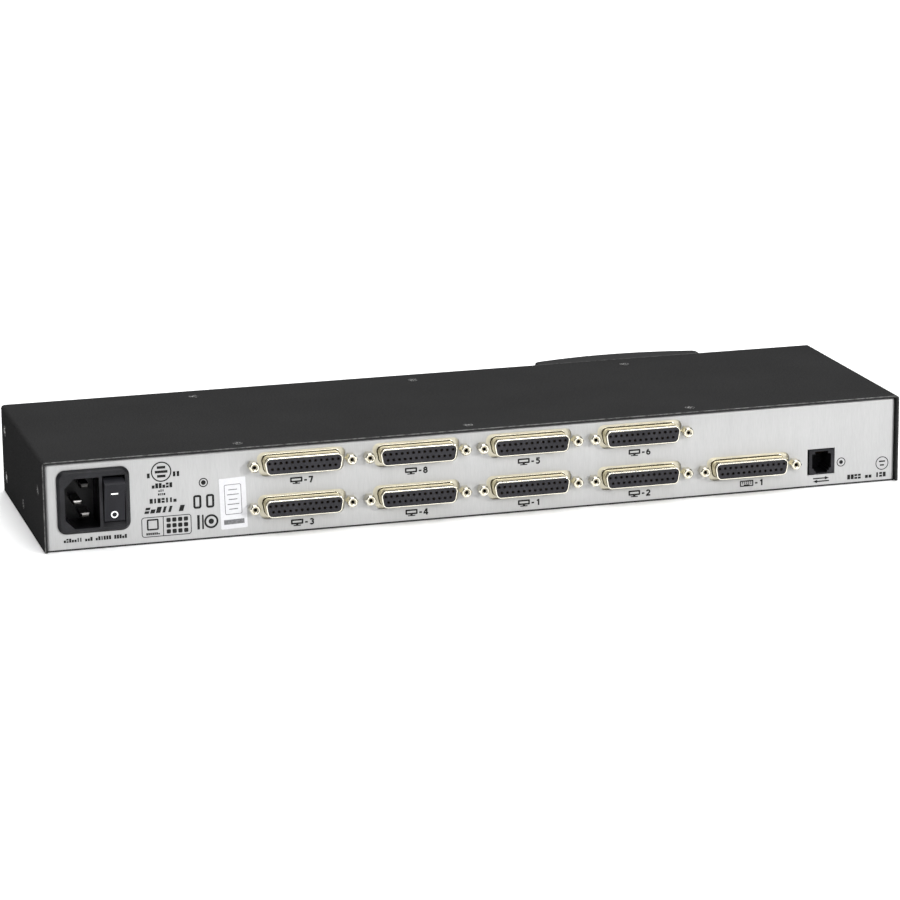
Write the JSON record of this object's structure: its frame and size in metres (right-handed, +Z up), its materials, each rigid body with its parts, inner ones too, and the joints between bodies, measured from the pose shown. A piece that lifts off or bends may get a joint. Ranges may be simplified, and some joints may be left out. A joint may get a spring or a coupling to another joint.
{
  "type": "kvm switch",
  "caption": "Rack-mount keyboard, video and mouse switch: black folded cover, grey rear panel of 25-way sockets, switched mains inlet, serial jack and a bulging front control pod.",
  "frame": {"origin": "centre of the whole object's footprint, on the underside of the base pan", "axes": "+Z up; +Y out of the rear panel with the sockets; +X towards the mains inlet, so the control pod is at -X on the front face, which looks along -Y"},
  "size_m": [0.4244, 0.138, 0.0434],
  "materials": {
    "cover_paint": "fine textured black powder coat",
    "pan_paint": "satin black",
    "panel_zinc": "satin, fine vertical grain",
    "front_paint": "fine textured black",
    "pod_plastic": "fine moulded texture",
    "key_plastic": "satin",
    "inlet_plastic": "satin moulded",
    "rocker_plastic": "satin moulded",
    "jack_plastic": "satin moulded",
    "shell_gold": "pale yellow chromate",
    "insulator_plastic": "satin slate grey",
    "contact_gold": "gold flash",
    "post_nickel": "bright nickel",
    "blade_nickel": "bright nickel",
    "insert_zinc": "bright zinc",
    "screw_black": "black oxide",
    "screw_zinc": "bright zinc",
    "board_green": "solder mask",
    "chip_black": "moulded epoxy",
    "ferrite": "sintered",
    "copper": "enamelled copper under tape",
    "can_sleeve": "shrink sleeve",
    "sink_aluminium": "natural extrusion",
    "fuse_glass": "clear",
    "wire_jacket": "pvc",
    "ribbon_grey": "pvc",
    "led_lens": "diffused green"
  },
  "bodies": {
    "case": {"top_cover": "cover_paint", "base_pan": "pan_paint", "rear_panel": "panel_zinc", "front_panel": "front_paint", "cover_screws": "screw_black", "rack_inserts": "insert_zinc", "jack_posts": "post_nickel", "board_screws": "screw_zinc", "pod_screws": "screw_zinc", "pan_standoffs": "insert_zinc", "board_spacers": "insert_zinc", "upper_contacts": "contact_gold", "lower_contacts": "contact_gold", "inlet_housing": "inlet_plastic", "inlet_blades": "blade_nickel", "inlet_earth_blade": "blade_nickel", "switch_tabs": "blade_nickel", "serial_jack": "jack_plastic", "serial_jack_contacts": "contact_gold", "control_pod": "pod_plastic", "key_switches": "chip_black", "indicator_leds": "led_lens", "main_board": "board_green", "port_board": "board_green", "power_board": "board_green", "front_board": "board_green", "switching_chips": "chip_black", "processor_chip": "chip_black", "board_headers": "chip_black", "transformer_core": "ferrite", "transformer_coil": "copper", "bulk_capacitor": "can_sleeve", "heat_sink": "sink_aluminium", "mains_fuse": "fuse_glass", "input_choke": "ferrite", "mains_leads": "wire_jacket", "dc_leads": "wire_jacket", "front_ribbon": "ribbon_grey", "port_1_shell": "shell_gold", "port_1_insulator": "insulator_plastic", "port_2_shell": "shell_gold", "port_2_insulator": "insulator_plastic", "port_3_shell": "shell_gold", "port_3_insulator": "insulator_plastic", "port_4_shell": "shell_gold", "port_4_insulator": "insulator_plastic", "port_5_shell": "shell_gold", "port_5_insulator": "insulator_plastic", "port_6_shell": "shell_gold", "port_6_insulator": "insulator_plastic", "port_7_shell": "shell_gold", "port_7_insulator": "insulator_plastic", "port_8_shell": "shell_gold", "port_8_insulator": "insulator_plastic", "console_shell": "shell_gold", "console_insulator": "insulator_plastic"},
    "rocker": {"power_rocker": "rocker_plastic"},
    "previous_key": {"key_previous": "key_plastic"},
    "scan_key": {"key_scan": "key_plastic"},
    "next_key": {"key_next": "key_plastic"}
  },
  "joints": [
    {"name": "power_switch", "type": "hinge", "parent": "case", "child": "rocker", "pos_m": [0.1791, 0.06225, 0.023], "axis": [1, 0, 0], "range_deg": [0, 20.5]},
    {"name": "key_previous_press", "type": "slide", "parent": "case", "child": "previous_key", "axis": [0, 1, 0], "range_m": [0, 0.0008], "stiffness_N_per_m": 1200},
    {"name": "key_scan_press", "type": "slide", "parent": "case", "child": "scan_key", "axis": [0, 1, 0], "range_m": [0, 0.0008], "stiffness_N_per_m": 1200},
    {"name": "key_next_press", "type": "slide", "parent": "case", "child": "next_key", "axis": [0, 1, 0], "range_m": [0, 0.0008], "stiffness_N_per_m": 1200}
  ]
}
